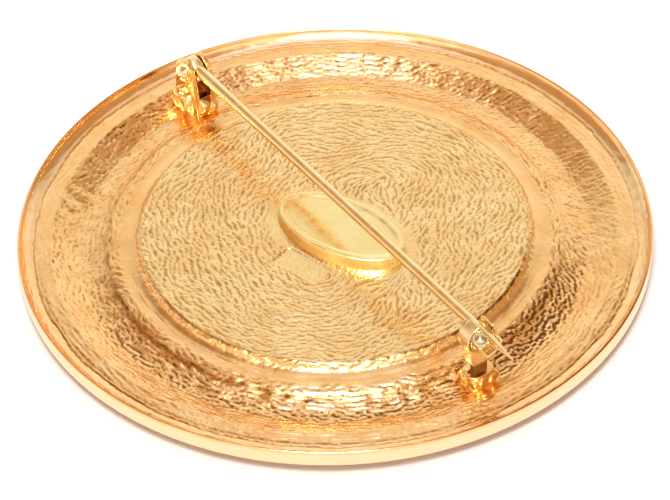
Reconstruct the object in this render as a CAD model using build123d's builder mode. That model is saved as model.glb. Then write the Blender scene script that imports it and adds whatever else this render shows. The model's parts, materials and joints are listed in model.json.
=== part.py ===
from build123d import *
import math
import os

# A large round cast brooch, gold plated, lying face down so that its back shows.
# X runs along the pin from hinge to catch, Z points up out of the back.
# The origin is on the table under the middle of the brooch. All sizes are in millimetres.

# Casting: widths of the rings of its back, from the outer edge inward
brooch_radius = 30.0
rim_lip_width = 0.3
rim_wall_run = 0.6
rim_ledge_width = 1.6
crest_width = 0.65
trough_outer_run = 2.5
trough_floor_width = 1.0
trough_inner_run = 1.9
shoulder_width = 1.15
ring_ledge_width = 1.1
step_run = 0.8

# Casting: depths of those rings below the top of the rim
rim_ledge_depth = 0.78
crest_depth = 0.7
trough_depth = 1.8
shoulder_depth = 1.2
ring_ledge_depth = 1.03
disc_depth = 0.25

# Casting: walls, the rim's outer band and the rounding of its edges
trough_wall = 0.95
shoulder_wall = 1.0
ring_wall = 1.1
disc_wall = 1.15
rim_band_height = 1.65
front_rim_width = 1.4
rest_land_width = 0.6
lip_round = 0.14
moulding_round = 0.18
trough_round = 0.7

# Oval plaque on the disc, its sunk field and the sunk bar beside it
plaque_x = 1.2
plaque_y = 0.0
plaque_length = 13.6
plaque_width = 7.4
plaque_height = 1.05
plaque_turn = 19.0
plaque_border = 0.65
plaque_field_depth = 0.15
plaque_round = 0.18
bar_x = 2.7
bar_y = -5.6
bar_length = 5.4
bar_width = 2.7
bar_turn = 15.5
bar_depth = 0.12
bar_corner_radius = 0.45

# Pin
pin_diameter = 1.0
pin_root_diameter = 1.15
pin_root_taper = 8.0
pin_rise_at_hinge = 3.5
pin_rise_at_catch = 4.15
pin_latch_taper = 3.9
pin_latch_diameter = 0.9
pin_point_length = 3.6
pin_point_diameter = 0.12
pin_past_catch = 4.0
hub_radius = 1.4
hub_width = 1.15
hub_round = 0.2
stem_start = 0.8

# Hinge, set in from the outer edge
hinge_inset = 5.7
rivet_rise = 3.0
rivet_diameter = 1.0
rivet_head_diameter = 1.7
rivet_head_height = 0.6
rivet_in_ear_clearance = 0.03
rivet_in_hub_clearance = 0.05
hub_side_clearance = 0.1
ear_thickness = 0.5
ear_radius = 1.5
ear_foot_width = 4.4
ear_slot_depth = 2.4
hinge_pad_length = 4.3
hinge_pad_width = 3.5
hinge_pad_height = 1.45

# Catch, set in from the outer edge: a ring on a post, open at the top, with a turning sleeve
catch_inset = 6.7
catch_length = 1.35
catch_wall = 0.25
sleeve_wall = 0.25
sleeve_clearance = 0.05
sleeve_bore = 2.2
pin_side_offset = 0.38
pin_lift_offset = 0.32
pin_slot_clearance = 0.12
neck_width = 2.8
catch_pad_length = 2.8
catch_pad_width = 3.6
catch_pad_height = 1.45
lip_reach = 0.9
lip_start_turn = 100.0
lip_end_turn = 182.0
sleeve_collar_length = 0.2
sleeve_collar_step = 0.22
sleeve_nose = 0.15
knob_diameter = 1.4
knob_reach = 0.85
knob_turn = -46.0
knob_stem_diameter = 0.5

# Soldered feet: how far they sink into the casting, their corners and their rounded tops
solder_sink = 0.35
foot_corner_radius = 0.8
foot_round = 0.4

# Margin for picking corners of the casting's section by their position
pick_margin = 0.01

# Radii of the casting's rings, worked inward
lip_inner_radius = brooch_radius - rim_lip_width
ledge_outer_radius = lip_inner_radius - rim_wall_run
ledge_inner_radius = ledge_outer_radius - rim_ledge_width
crest_inner_radius = ledge_inner_radius - crest_width
floor_outer_radius = crest_inner_radius - trough_outer_run
floor_inner_radius = floor_outer_radius - trough_floor_width
shoulder_outer_radius = floor_inner_radius - trough_inner_run
ring_outer_radius = shoulder_outer_radius - shoulder_width
ring_inner_radius = ring_outer_radius - ring_ledge_width
disc_radius = ring_inner_radius - step_run
land_radius = (floor_outer_radius + floor_inner_radius) / 2

# Heights above the table: the land under the trough rests on it
rim_top = trough_depth + trough_wall
ledge_top = rim_top - rim_ledge_depth
crest_top = rim_top - crest_depth
floor_top = rim_top - trough_depth
shoulder_top = rim_top - shoulder_depth
ring_top = rim_top - ring_ledge_depth
disc_top = rim_top - disc_depth
rim_bottom = rim_top - rim_band_height
shoulder_bottom = shoulder_top - shoulder_wall
ring_bottom = ring_top - ring_wall
disc_bottom = disc_top - disc_wall
foot_bottom = floor_top - solder_sink

# Pin, hinge and catch axes
hinge_reach = brooch_radius - hinge_inset
catch_reach = brooch_radius - catch_inset
rivet_height = rim_top + rivet_rise
pin_height_at_hinge = rim_top + pin_rise_at_hinge
pin_height_at_catch = rim_top + pin_rise_at_catch
pin_slope = (pin_height_at_catch - pin_height_at_hinge) / (catch_reach + hinge_reach)
pin_angle = math.degrees(math.atan(pin_slope))
catch_near_x = catch_reach + catch_length / 2
catch_far_x = catch_reach - catch_length / 2
catch_y = -pin_side_offset
catch_height = pin_height_at_catch - pin_lift_offset
sleeve_inner_radius = sleeve_bore / 2
sleeve_outer_radius = sleeve_inner_radius + sleeve_wall
housing_inner_radius = sleeve_outer_radius + sleeve_clearance
housing_outer_radius = housing_inner_radius + catch_wall
slot_width = pin_diameter + 2 * pin_slot_clearance
ear_gap = hub_width + 2 * hub_side_clearance
hinge_width = ear_gap + 2 * ear_thickness
ear_hole_radius = rivet_diameter / 2 + rivet_in_ear_clearance


def around_catch(turn, radius):
    """Point of the YZ plane at a clockwise turn from straight up, seen from the pin's point."""
    angle = math.radians(turn)
    return (catch_y + radius * math.sin(angle), catch_height + radius * math.cos(angle))


# Hinge bracket: two round-topped ears on a soldered foot, with a slot for the pin's hub
with BuildPart() as hinge_bracket:
    with BuildSketch(Plane.XY.offset(foot_bottom)):
        with Locations((-hinge_reach, 0)):
            RectangleRounded(hinge_pad_length, hinge_pad_width, foot_corner_radius)
    extrude(amount=solder_sink + hinge_pad_height)
    fillet(faces().sort_by(Axis.Z)[-1].edges(), radius=foot_round)
    with BuildSketch(Plane.XZ):
        with Locations((-hinge_reach, rivet_height)):
            Circle(ear_radius)
        with BuildLine():
            Polyline(
                (-hinge_reach - ear_radius, rivet_height),
                (-hinge_reach + ear_radius, rivet_height),
                (-hinge_reach + ear_foot_width / 2, foot_bottom),
                (-hinge_reach - ear_foot_width / 2, foot_bottom),
                close=True,
            )
        make_face()
    extrude(amount=hinge_width / 2, both=True)
    with BuildSketch(Plane.XZ):
        with Locations((-hinge_reach, rivet_height - ear_slot_depth + 2 * ear_radius)):
            Rectangle(2 * ear_foot_width, 4 * ear_radius)
    extrude(amount=ear_gap / 2, both=True, mode=Mode.SUBTRACT)
    with BuildSketch(Plane.XZ):
        with Locations((-hinge_reach, rivet_height)):
            Circle(ear_hole_radius)
    extrude(amount=hinge_width, both=True, mode=Mode.SUBTRACT)

# Catch housing: a ring on a post, open at the top, with a guiding lip past its near end
with BuildPart() as catch_housing:
    with BuildSketch(Plane.XY.offset(foot_bottom)):
        with Locations((catch_reach, catch_y)):
            RectangleRounded(catch_pad_length, catch_pad_width, foot_corner_radius)
    extrude(amount=solder_sink + catch_pad_height)
    fillet(faces().sort_by(Axis.Z)[-1].edges(), radius=foot_round)
    with BuildSketch(Plane.YZ.offset(catch_far_x)):
        with Locations((catch_y, catch_height)):
            Circle(housing_outer_radius)
        with Locations((catch_y, (catch_height + foot_bottom) / 2)):
            Rectangle(neck_width, catch_height - foot_bottom)
    extrude(amount=catch_length)
    with BuildSketch(Plane.YZ.offset(catch_near_x)):
        with BuildLine():
            lip_outer = ThreePointArc(
                around_catch(lip_start_turn, housing_outer_radius),
                around_catch((lip_start_turn + lip_end_turn) / 2, housing_outer_radius),
                around_catch(lip_end_turn, housing_outer_radius),
            )
            lip_inner = ThreePointArc(
                around_catch(lip_start_turn, housing_inner_radius),
                around_catch((lip_start_turn + lip_end_turn) / 2, housing_inner_radius),
                around_catch(lip_end_turn, housing_inner_radius),
            )
            Line(lip_outer @ 0, lip_inner @ 0)
            Line(lip_outer @ 1, lip_inner @ 1)
        make_face()
    extrude(amount=lip_reach)
    with BuildSketch(Plane.YZ.offset(catch_far_x)):
        with Locations((catch_y, catch_height)):
            Circle(housing_inner_radius)
    extrude(amount=catch_length, mode=Mode.SUBTRACT)
    with BuildSketch(Plane.YZ.offset(catch_far_x)):
        with Locations((0, catch_height + housing_outer_radius)):
            Rectangle(slot_width, 2 * housing_outer_radius)
    extrude(amount=catch_length, mode=Mode.SUBTRACT)

# Casting with the plaque, and with the hinge bracket and the catch housing soldered to it
with BuildPart() as cast_plate:
    with BuildSketch(Plane.XZ) as section:
        with BuildLine():
            Polyline(
                (0, disc_top),
                (disc_radius, disc_top),
                (ring_inner_radius, ring_top),
                (ring_outer_radius, ring_top),
                (shoulder_outer_radius, shoulder_top),
                (floor_inner_radius, floor_top),
                (floor_outer_radius, floor_top),
                (crest_inner_radius, crest_top),
                (ledge_inner_radius, ledge_top),
                (ledge_outer_radius, ledge_top),
                (lip_inner_radius, rim_top),
                (brooch_radius, rim_top),
                (brooch_radius, rim_bottom),
                (brooch_radius - front_rim_width, rim_bottom),
            )
            TangentArc(
                (land_radius + rest_land_width / 2, 0),
                (brooch_radius - front_rim_width, rim_bottom),
                tangent=(1, 0),
            )
            Line((land_radius + rest_land_width / 2, 0), (land_radius - rest_land_width / 2, 0))
            TangentArc(
                (land_radius - rest_land_width / 2, 0),
                (shoulder_outer_radius, shoulder_bottom),
                tangent=(-1, 0),
            )
            Polyline(
                (shoulder_outer_radius, shoulder_bottom),
                (ring_inner_radius, ring_bottom),
                (disc_radius - disc_wall, disc_bottom),
                (0, disc_bottom),
                (0, disc_top),
            )
        make_face()
        rim_corners = section.vertices().filter_by_position(
            Axis.X, lip_inner_radius - pick_margin, brooch_radius + pick_margin
        )
        fillet(rim_corners, radius=lip_round)
        trough_corners = section.vertices().filter_by_position(
            Axis.X, floor_inner_radius - pick_margin, floor_outer_radius + pick_margin
        ).filter_by_position(Axis.Z, floor_top - pick_margin, floor_top + pick_margin)
        fillet(trough_corners, radius=trough_round)
        mouldings = section.vertices().filter_by_position(
            Axis.X, disc_radius - disc_wall - pick_margin, ledge_outer_radius + pick_margin
        ).filter_by_position(Axis.Z, shoulder_bottom - pick_margin, disc_top + pick_margin)
        mouldings = mouldings.filter_by(
            lambda corner: min(abs(corner.Z - floor_top), abs(corner.Z - disc_bottom)) > pick_margin
        )
        fillet(mouldings, radius=moulding_round)
    revolve(axis=Axis.Z)
    plaque_plane = Plane(origin=(plaque_x, plaque_y, disc_top)).rotated((0, 0, plaque_turn))
    with BuildSketch(plaque_plane.offset(-solder_sink)):
        Ellipse(plaque_length / 2, plaque_width / 2)
    extrude(amount=solder_sink + plaque_height)
    fillet(faces().sort_by(Axis.Z)[-1].edges(), radius=plaque_round)
    with BuildSketch(plaque_plane.offset(plaque_height - plaque_field_depth)):
        Ellipse(plaque_length / 2 - plaque_border, plaque_width / 2 - plaque_border)
    extrude(amount=plaque_field_depth, mode=Mode.SUBTRACT)
    bar_plane = Plane(origin=(bar_x, bar_y, disc_top - bar_depth)).rotated((0, 0, bar_turn))
    with BuildSketch(bar_plane):
        RectangleRounded(bar_length, bar_width, bar_corner_radius)
    extrude(amount=bar_depth, mode=Mode.SUBTRACT)
    add(hinge_bracket.part)
    add(catch_housing.part)

# Rivet through both ears and the hub, with a domed head outside each ear
with BuildPart() as hinge_rivet:
    head_radius = rivet_head_diameter / 2
    head_base = hinge_width / 2
    head_top = head_base + rivet_head_height
    dome_radius = (head_radius**2 + rivet_head_height**2) / (2 * rivet_head_height)
    half_rise = dome_radius - rivet_head_height / 2
    half_reach = math.sqrt(dome_radius**2 - half_rise**2)
    rivet_plane = Plane(origin=(-hinge_reach, 0, rivet_height), x_dir=(1, 0, 0), z_dir=(0, 0, 1))
    with BuildSketch(rivet_plane):
        with BuildLine():
            Polyline(
                (0, -head_top),
                (0, head_top),
            )
            ThreePointArc(
                (0, head_top),
                (half_reach, head_base + rivet_head_height / 2),
                (head_radius, head_base),
            )
            Polyline(
                (head_radius, head_base),
                (rivet_diameter / 2, head_base),
                (rivet_diameter / 2, -head_base),
                (head_radius, -head_base),
            )
            ThreePointArc(
                (head_radius, -head_base),
                (half_reach, -head_base - rivet_head_height / 2),
                (0, -head_top),
            )
        make_face()
    revolve(axis=Axis((-hinge_reach, 0, rivet_height), (0, 1, 0)))

# Pin: a flat hub on the rivet and a straight stem that tapers to a point past the catch
with BuildPart() as pin_stem:
    with BuildSketch(Plane.XZ):
        with Locations((-hinge_reach, rivet_height)):
            Circle(hub_radius)
    extrude(amount=hub_width / 2, both=True)
    fillet(edges().filter_by(GeomType.CIRCLE), radius=hub_round)
    stem_length = (catch_near_x + pin_past_catch + hinge_reach) / math.cos(math.radians(pin_angle))
    stem_plane = Plane(
        origin=(-hinge_reach, 0, pin_height_at_hinge),
        x_dir=(1, 0, pin_slope),
        z_dir=(0, -1, 0),
    )
    with BuildSketch(stem_plane):
        with BuildLine():
            Polyline(
                (stem_start, 0),
                (stem_start, pin_root_diameter / 2),
                (stem_start + pin_root_taper, pin_diameter / 2),
                (stem_length - pin_point_length - pin_latch_taper, pin_diameter / 2),
                (stem_length - pin_point_length, pin_latch_diameter / 2),
                (stem_length, pin_point_diameter / 2),
                (stem_length, 0),
                close=True,
            )
        make_face()
    revolve(axis=Axis((-hinge_reach, 0, pin_height_at_hinge), (1, 0, pin_slope)))
    with BuildSketch(Plane.XZ):
        with Locations((-hinge_reach, rivet_height)):
            Circle(rivet_diameter / 2 + rivet_in_hub_clearance)
    extrude(amount=hub_width, both=True, mode=Mode.SUBTRACT)

# Sleeve: a slotted tube that turns in the housing, held by its far collar and by its ball knob
with BuildPart() as catch_sleeve:
    sleeve_start = catch_far_x - sleeve_clearance - sleeve_collar_length
    sleeve_end = catch_near_x + sleeve_nose
    with BuildSketch(Plane.YZ.offset(sleeve_start)):
        with Locations((catch_y, catch_height)):
            Circle(sleeve_outer_radius)
    extrude(amount=sleeve_end - sleeve_start)
    with BuildSketch(Plane.YZ.offset(sleeve_start)):
        with Locations((catch_y, catch_height)):
            Circle(sleeve_outer_radius + sleeve_collar_step)
    extrude(amount=sleeve_collar_length)
    knob_orbit = (sleeve_inner_radius + sleeve_outer_radius) / 2
    knob_y, knob_z = around_catch(knob_turn, knob_orbit)
    with BuildSketch(Plane.YZ.offset(catch_near_x + sleeve_clearance)):
        with Locations((knob_y, knob_z)):
            Circle(knob_stem_diameter / 2)
    extrude(amount=knob_reach - sleeve_clearance)
    with Locations((catch_near_x + knob_reach, knob_y, knob_z)):
        Sphere(knob_diameter / 2)
    with BuildSketch(Plane.YZ.offset(sleeve_start)):
        with Locations((catch_y, catch_height)):
            Circle(sleeve_inner_radius)
    extrude(amount=sleeve_end - sleeve_start, mode=Mode.SUBTRACT)
    with BuildSketch(Plane.YZ.offset(sleeve_start)):
        with Locations((0, catch_height + housing_outer_radius)):
            Rectangle(slot_width, 2 * housing_outer_radius)
    extrude(amount=sleeve_end - sleeve_start, mode=Mode.SUBTRACT)

pieces = {
    "cast_plate": cast_plate,
    "hinge_rivet": hinge_rivet,
    "pin_stem": pin_stem,
    "catch_sleeve": catch_sleeve,
}

os.makedirs("parts", exist_ok=True)
for piece_name, piece in pieces.items():
    piece.part.label = piece_name
    export_step(piece.part, f"parts/{piece_name}.step")
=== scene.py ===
import json
import math

import bmesh
import bpy
import numpy as np
from mathutils import Matrix, Vector


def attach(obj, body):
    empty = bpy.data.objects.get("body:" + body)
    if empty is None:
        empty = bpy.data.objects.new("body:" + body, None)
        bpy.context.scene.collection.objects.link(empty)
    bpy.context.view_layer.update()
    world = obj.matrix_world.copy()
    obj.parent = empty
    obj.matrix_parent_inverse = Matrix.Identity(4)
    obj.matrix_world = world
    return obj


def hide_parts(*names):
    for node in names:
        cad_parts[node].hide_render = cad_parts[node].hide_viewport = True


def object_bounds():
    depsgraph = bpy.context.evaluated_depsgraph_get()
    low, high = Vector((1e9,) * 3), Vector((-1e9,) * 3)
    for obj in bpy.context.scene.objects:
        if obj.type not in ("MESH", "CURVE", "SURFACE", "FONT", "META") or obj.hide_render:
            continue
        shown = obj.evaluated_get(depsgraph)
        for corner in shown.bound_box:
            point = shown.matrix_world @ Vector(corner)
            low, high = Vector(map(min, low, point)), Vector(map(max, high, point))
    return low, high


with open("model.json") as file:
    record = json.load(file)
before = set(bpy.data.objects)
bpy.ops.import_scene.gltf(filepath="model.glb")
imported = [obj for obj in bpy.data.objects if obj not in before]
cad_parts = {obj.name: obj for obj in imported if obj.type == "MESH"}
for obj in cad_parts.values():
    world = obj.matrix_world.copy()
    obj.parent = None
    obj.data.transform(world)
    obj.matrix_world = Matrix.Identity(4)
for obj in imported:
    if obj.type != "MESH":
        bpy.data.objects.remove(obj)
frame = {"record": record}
cad_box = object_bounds()


def millimetres(metres):
    return tuple(round(1000 * value, 4) for value in metres)


# Where the rivet and the catch's axis are and how far out the rim reaches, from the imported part
JOINTS = {joint["name"]: millimetres(joint["pos_m"]) for joint in frame["record"]["behaviour"]["joints"]}
RIVET, CATCH = JOINTS["pin_swing"], JOINTS["sleeve_turn"]
BROOCH_R = millimetres(cad_box[1])[0]

# Sizes in millimetres and turns in degrees, the same as in the part's source
DISC_R, RING_IN, RING_OUT, SHOULDER_OUT, CREST_IN = 18.4, 19.2, 20.3, 21.45, 26.85
DISC_Z, FLOOR_Z, CREST_Z, RIM_Z = 2.5, 0.95, 2.05, 2.75
RIM_LOW, DISC_LOW, RING_LOW, SHOULDER_LOW = 1.1, 1.35, 0.62, 0.55
PLAQUE_X, PLAQUE_TURN, PLAQUE_HALF, PLAQUE_H = 1.2, 19.0, (6.8, 3.7), 1.05
BAR_AT, BAR_TURN, BAR_HALF, BAR_DEPTH = (2.7, -5.6), 15.5, (2.25, 0.9), 0.11
EAR_R, EAR_GAP, EAR_T, EAR_FOOT = 1.5, 1.35, 0.5, 4.4
HINGE_W = EAR_GAP + 2 * EAR_T
CATCH_L = 1.35
TUBE_IN, TUBE_OUT, RING_BORE, RING_R = 1.1, 1.35, 1.4, 1.65
COLLAR_R, COLLAR_L = 1.57, 0.2
SLOT_HALF = 0.62
KNOB_TURN, KNOB_R, KNOB_REACH, ARM_R, ARM_L = -46.0, 0.7, 0.85, 0.25, 0.75
PIN_START, PIN_TIP_X, PIN_R = (RIVET[0], 6.25), 27.975, 0.5
PIN_SLOPE = 0.65 / 47.6
# The height to which the feet of the hinge, the catch and their solder sink into the casting
SUNK_Z = FLOOR_Z - 0.35

# Where the casting's pieces meet, and the height of its underside there
DISC_SEAM, RIM_SEAM = 19.75, 28.3
DISC_SEAM_LOW, RIM_SEAM_LOW = 0.61, 1.08

# What the casting's pieces ride on and replace, then a slot name that nothing reads
CASTING = ("plate", "cast_plate", "gold_casting")

# The photograph's axes in the part's frame: right and away from the camera
RIGHT = np.array([0.5461, 0.8377])
AWAY = np.array([-0.8377, 0.5461])


# Relief fields on a grid in the photograph's axes, in millimetres

FIELD_HALF = BROOCH_R + 0.6
FIELD_N = 1024
axis = (np.arange(FIELD_N) - FIELD_N / 2) * (2 * FIELD_HALF / FIELD_N)
GX, GY = np.meshgrid(axis, axis, indexing="ij")
GR = np.hypot(GX, GY) + 1e-9
ROUND = np.arctan2(GY, GX) + math.pi / 2
TURN = np.degrees(np.arctan2(GY, GX))
freq = np.fft.fftfreq(FIELD_N, d=2 * FIELD_HALF / FIELD_N)
FX, FY = np.meshgrid(freq, freq, indexing="ij")


def smooth(x, a, b):
    """Goes softly from 0 at a to 1 at b."""
    t = np.clip((x - a) / (b - a), 0.0, 1.0)
    return t * t * (3 - 2 * t)


def band(r, inner, outer, soft):
    """1 between two radii and 0 outside, with edges that soft."""
    return smooth(r, inner - soft, inner + soft) * (1 - smooth(r, outer - soft, outer + soft))


def inside(radius, soft):
    """1 within that radius of the brooch's middle and 0 outside, with an edge that soft."""
    return 1 - smooth(GR, radius - soft, radius + soft)


def line_at(radius, width):
    """A soft line round the brooch."""
    return np.exp(-(((GR - radius) / width) ** 2))


def facing(turn, width):
    """1 at that turn from the photograph's right, and fading within that many degrees."""
    return np.exp(-(((TURN - turn) / width) ** 2))


def seen_from(point, turn=0.0):
    """The grid's places as seen from a point of the part, in axes turned that far from the part's own."""
    angle = math.radians(turn) - math.atan2(RIGHT[1], RIGHT[0])
    x, y = GX - float(np.dot(point, RIGHT)), GY - float(np.dot(point, AWAY))
    return x * math.cos(angle) + y * math.sin(angle), -x * math.sin(angle) + y * math.cos(angle)


def noise(wavelength, seed):
    """Smooth round noise of unit spread and about that wavelength."""
    white = np.random.default_rng(seed).standard_normal((FIELD_N, FIELD_N))
    keep = np.exp(-((np.hypot(FX, FY) * wavelength - 1.0) ** 2) * 4.0)
    out = np.fft.ifft2(np.fft.fft2(white) * keep).real
    return out / out.std()


def strokes(angle, length, width, seed, bins=18, sharp=10):
    """Noise of unit spread drawn out along an angle field: strokes that long and that far apart."""
    spectrum = np.fft.fft2(np.random.default_rng(seed).standard_normal((FIELD_N, FIELD_N)))
    total = np.zeros((FIELD_N, FIELD_N))
    norm = np.zeros((FIELD_N, FIELD_N))
    for k in range(bins):
        a = math.pi * k / bins
        along = FX * math.cos(a) + FY * math.sin(a)
        across = -FX * math.sin(a) + FY * math.cos(a)
        keep = np.exp(-((along * length) ** 2) * 1.6) * np.exp(-((np.abs(across) * width - 1.0) ** 2) * 3.0)
        layer = np.fft.ifft2(spectrum * keep).real
        weight = np.abs(np.cos(angle - a)) ** (2 * sharp)
        total += weight * layer / layer.std()
        norm += weight * weight
    return total / np.sqrt(norm)


# How the cast strokes lie on the disc: place, and direction from the photograph's right
STROKE_DIRECTIONS = (
    (15.4, -0.8, 73), (7.9, -10.5, 66), (11.7, 10.4, -45), (-13.6, -2.2, 107), (-14.6, -9.0, 116),
    (-12.7, 10.4, 60), (-7.1, 9.0, 63), (13.5, -9.1, 70), (8.9, 4.8, 72), (-8.9, -10.5, 120),
    (0.0, 12.5, 0), (5.5, 13.0, -8), (0.0, 0.0, 88), (0.0, -11.0, 10),
)
STROKE_SPREAD = 50.0


def flow_angle():
    """Which way the strokes run: spread between the places above, and round the edge at the near side."""
    c = np.zeros_like(GX)
    s = np.zeros_like(GX)
    for u, v, degrees in STROKE_DIRECTIONS:
        w = np.exp(-((GX - u) ** 2 + (GY - v) ** 2) / STROKE_SPREAD)
        c += w * math.cos(2 * math.radians(degrees))
        s += w * math.sin(2 * math.radians(degrees))
    size = np.hypot(c, s) + 1e-9
    w = np.maximum(smooth(GR, 13.0, 17.5) * smooth(-GY, 4.0, 12.0), smooth(GR, 18.3, 19.5))
    c = (1 - w) * c / size + w * np.cos(2 * ROUND)
    s = (1 - w) * s / size + w * np.sin(2 * ROUND)
    return 0.5 * np.arctan2(s, c) + 0.2 * noise(7.0, 5)


FLOW = flow_angle()
TANGENT = ROUND + 0.12 * noise(7.0, 6)
BARK = strokes(FLOW, 0.95, 0.54, 21)
BARK_FINE = strokes(FLOW + 0.2, 0.45, 0.36, 22)
# The trough's strokes run across it at the right of the photograph and along it elsewhere
ACROSS = TANGENT + 1.1 * facing(25, 45)
PEBBLE = 0.75 * strokes(ACROSS, 0.75, 0.5, 31) + 0.65 * noise(0.55, 32)
STREAK = strokes(TANGENT, 2.4, 0.4, 41, bins=36, sharp=24)
SWELL = noise(6.0, 51)
DENT = noise(2.0, 52)

DISC_ZONE = inside(DISC_R - 0.1, 0.1)
STEP_ZONE = band(GR, DISC_R, 18.9, 0.15)
SHOULDER_ZONE = band(GR, RING_OUT + 0.15, SHOULDER_OUT + 0.1, 0.2)
TROUGH_ZONE = band(GR, SHOULDER_OUT + 0.3, CREST_IN + 0.1, 0.3)
LEDGE_ZONE = band(GR, CREST_IN + 0.2, 28.25, 0.2)
WALL_ZONE = band(GR, 28.9, 29.7, 0.12)
INSIDE_RIM = inside(28.15, 0.2)
NEAR_WALL = band(GR, 20.9, 24.0, 0.4) * smooth(-GY, 2.0, 12.0)
# The trough is calm at the feet of the hinge and the catch
CALM = smooth(np.hypot(*seen_from(RIVET[:2])), 2.2, 5.0) * smooth(np.hypot(*seen_from(CATCH[:2])), 1.8, 3.6)
CALM = np.clip(CALM, 0.12, 1.0)
# The sunk bar beside the plaque is level, with the disc's strokes pressed nearly flat
bar_u, bar_v = seen_from(BAR_AT, BAR_TURN)
bar_u, bar_v = np.maximum(np.abs(bar_u) - BAR_HALF[0], 0), np.maximum(np.abs(bar_v) - BAR_HALF[1], 0)
BAR = 1 - smooth(np.hypot(bar_u, bar_v), 0.3, 0.5)
# The disc is calmer close round the plaque
oval_u, oval_v = seen_from((PLAQUE_X, 0.0), PLAQUE_TURN)
AROUND = 1 - smooth(np.hypot(oval_u / (PLAQUE_HALF[0] + 1.3), oval_v / (PLAQUE_HALF[1] + 1.3)), 0.93, 1.08)
TEXTURE = (1 - 0.65 * BAR) * (1 - 0.7 * AROUND)
# A thin jagged line is cut at the foot of the rim's wall, and a softer one at the shoulder
LINE_R = 28.52 + 0.05 * SWELL + 0.03 * noise(0.9, 53)
FOOT_LINE = line_at(LINE_R, 0.09)
SHOULDER_LINE = line_at(20.5 + 0.03 * SWELL, 0.08)
# The disc's dashes: narrow hollows between rounded ridges
DASH = smooth(-(BARK + 0.6 * BARK_FINE), 0.2, 2.0)
# The hollows between the pebbles lie deeper at the photograph's near right
HOLLOW = smooth(-PEBBLE, 0.1, 1.2)
DEEP = facing(-36, 22) * band(GR, 20.9, 23.9, 0.3)
# A patch of the disc tips toward the camera
PATCH_X, PATCH_Y = -4.5, -12.3
PATCH = np.exp(-((GX - PATCH_X) ** 2) / 8 - ((GY - PATCH_Y) ** 2) / 2)
RELIEF = (
    DISC_ZONE * TEXTURE * (0.006 * BARK + 0.004 * BARK_FINE - 0.026 * DASH + 0.010 * DENT)
    - DISC_ZONE * BAR_DEPTH * BAR
    + STEP_ZONE * 0.05 * np.tanh(BARK + 0.7 * BARK_FINE)
    + SHOULDER_ZONE * (0.016 * BARK + 0.006 * BARK_FINE + 0.010 * DENT)
    + TROUGH_ZONE * CALM * (
        (0.021 - 0.006 * NEAR_WALL) * np.tanh(PEBBLE)
        + (0.008 + 0.006 * NEAR_WALL) * STREAK
        + (0.014 + 0.014 * NEAR_WALL) * DENT
    )
    - (0.03 * DEEP + 0.01 * NEAR_WALL) * HOLLOW
    + 0.14 * (GY - PATCH_Y) * PATCH
    + LEDGE_ZONE * (0.012 * STREAK + (0.006 + 0.016 * smooth(-GY, 0.0, 14.0)) * np.tanh(PEBBLE))
    + WALL_ZONE * (0.3 + 0.7 * smooth(-GY, -8.0, 6.0)) * (0.006 * STREAK + 0.012 * DENT)
    + INSIDE_RIM * 0.014 * SWELL
    - 0.04 * SHOULDER_LINE * np.clip(0.6 + 0.6 * DENT, 0.0, 1.2)
    - 0.06 * FOOT_LINE
)
# How much painted shade and painted dark reflection darken the plating: dull from about 0.15 on, and nearly
# black toward 2
PAINTED_SHADE = (
    # Painted shade in the disc's dashes, and less of it on the ridges of the shoulder and the trough
    DISC_ZONE * TEXTURE * 1.1 * DASH
    - SHOULDER_ZONE * BARK * 0.35
    - TROUGH_ZONE * PEBBLE * 0.35
    # Painted shade between the pebbles of the trough's near wall
    + (2.3 * DEEP + 0.85 * NEAR_WALL) * HOLLOW
    # Painted shade at the disc's edge at the near right
    + 1.6 * facing(-34, 20) * band(GR, 18.28, 18.5, 0.07) * (0.6 + HOLLOW)
    # Painted shade at the shoulder's foot, at the left and then at the near side
    + 0.65 * band(GR, 21.4, 22.5, 0.25) * smooth(-GX, 8.0, 19.0) * np.clip(0.6 + 0.5 * PEBBLE, 0.0, 1.3)
    + (0.9 + 0.8 * smooth(-GY, 12.0, 18.0)) * line_at(21.7 + 0.06 * SWELL, 0.17)
    * np.clip(0.7 + 0.5 * PEBBLE, 0.0, 1.2) * smooth(-GY, -12.0, 8.0)
    # Painted shade in the line round the disc, at the trough's foot and in the line at the foot of the rim's
    # wall
    + (0.7 + 1.2 * smooth(-GY, 3.0, 12.0)) * line_at(18.42, 0.08) * (0.7 + 0.5 * HOLLOW)
    + 0.9 * band(GR, 23.5, 24.5, 0.2) * smooth(-GY, 6.0, 14.0) * (0.4 + 0.6 * HOLLOW)
    + (1.0 + 0.3 * smooth(-GY, -5.0, 12.0) + 0.4 * smooth(-GX, 10.0, 22.0)) * FOOT_LINE
    # Painted shade on the ledge, at the foot of the disc's step and at the edge of the lip at the near side
    + band(GR, 27.95, 28.45, 0.12) * smooth(-GY, 0.0, 10.0) * (0.6 + 0.9 * HOLLOW)
    + 0.85 * band(GR, 18.98, 19.4, 0.12) * smooth(-GY, 3.0, 12.0)
    + (0.2 + 0.8 * smooth(-GY, 0.0, 10.0)) * (1.0 + 1.6 * facing(-42, 25)) * band(GR, 29.76, 29.95, 0.04)
    # Painted shade and dark reflection on the rim's wall at the far left, and on the trough's outer slope at
    # the left and at the far side
    + 0.95 * facing(132, 42) * band(GR, 29.5, 29.96, 0.12)
    + 0.5 * band(GR, 24.6, 26.9, 0.3) * smooth(SWELL, 0.2, 1.4) * smooth(-GX, 5.0, 18.0) * (0.4 + HOLLOW)
    + 0.55 * smooth(GY, 12.0, 20.0) * band(GR, 24.6, 26.8, 0.3) * HOLLOW
)


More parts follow.
